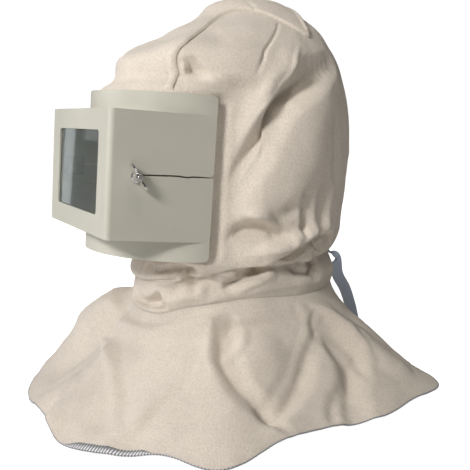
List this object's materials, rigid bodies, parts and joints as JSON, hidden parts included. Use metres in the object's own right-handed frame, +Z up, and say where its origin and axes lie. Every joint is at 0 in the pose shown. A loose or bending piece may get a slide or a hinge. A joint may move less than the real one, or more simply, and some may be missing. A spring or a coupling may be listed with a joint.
{
  "type": "sandblasting hood",
  "caption": "Canvas hood with a shoulder cape and a moulded box visor whose glass window is clamped by side bolts with wing nuts.",
  "frame": {"origin": "inside of the crown, where the top of the head carries the hood", "axes": "+Z up, -Y the way the visor looks, +X to the wearer's left"},
  "size_m": [0.476, 0.5106, 0.4939],
  "materials": {
    "canvas": "matt off-white cotton canvas",
    "visor_moulding": "satin grey-beige moulding",
    "window_glass": "clear polished glass",
    "holder_moulding": "satin grey moulding",
    "steel": "bright zinc-plated steel",
    "tape": "matt pale blue-grey woven tape"
  },
  "bodies": {
    "hood": {"crown_band": "canvas", "hood_body": "canvas", "cape": "canvas", "visor_shell": "visor_moulding", "window_glass": "window_glass", "glass_holder": "holder_moulding", "left_wing_bolt": "steel", "right_wing_bolt": "steel", "tie_tape": "tape"},
    "left_washer": {"left_washer": "steel"},
    "left_wing_nut": {"left_wing_nut": "steel"},
    "right_washer": {"right_washer": "steel"},
    "right_wing_nut": {"right_wing_nut": "steel"}
  },
  "joints": [
    {"name": "left_nut_travel", "type": "slide", "parent": "hood", "child": "left_washer", "axis": [1, 0, 0], "range_m": [0, 0.00226]},
    {"name": "left_nut_turn", "type": "hinge", "parent": "left_washer", "child": "left_wing_nut", "pos_m": [0.107, -0.16917, -0.19135], "axis": [1, 0, 0], "range_deg": [0, 810]},
    {"name": "right_nut_travel", "type": "slide", "parent": "hood", "child": "right_washer", "axis": [-1, 0, 0], "range_m": [0, 0.00226]},
    {"name": "right_nut_turn", "type": "hinge", "parent": "right_washer", "child": "right_wing_nut", "pos_m": [-0.107, -0.16917, -0.19135], "axis": [-1, 0, 0], "range_deg": [0, 810]}
  ],
  "couplings": [
    {"joint": "left_nut_travel", "follows": "left_nut_turn", "m_per_rad": 0.00015915},
    {"joint": "right_nut_travel", "follows": "right_nut_turn", "m_per_rad": 0.00015915}
  ]
}
